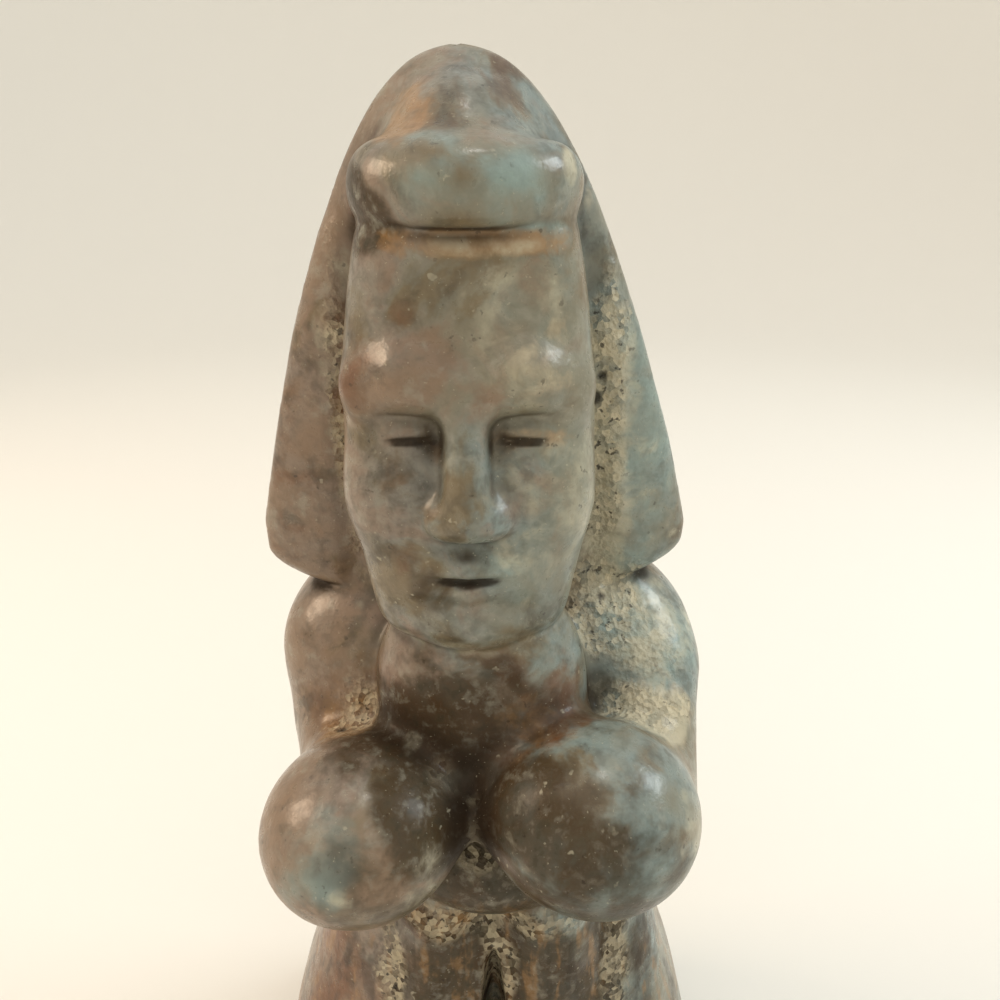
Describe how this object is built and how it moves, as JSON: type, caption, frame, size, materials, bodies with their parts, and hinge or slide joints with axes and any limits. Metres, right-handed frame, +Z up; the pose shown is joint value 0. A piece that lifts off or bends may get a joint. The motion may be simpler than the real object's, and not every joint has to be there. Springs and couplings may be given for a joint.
{
  "type": "stone warrior sculpture",
  "caption": "Small standing stone figure in a tall pointed hood and cloak, with a calm closed-eyed face and large rounded forearms, on a low base.",
  "frame": {"origin": "centre of the base's underside", "axes": "+Z up along the figure's height, the figure faces -Y, +X is the figure's left"},
  "size_m": [0.1068, 0.088, 0.2397],
  "materials": {
    "stone": "polished, cloudy grey-green, with brown and ochre stains and rough unpolished hollows"
  },
  "bodies": {
    "root": {"stone_warrior": "stone"}
  },
  "joints": []
}
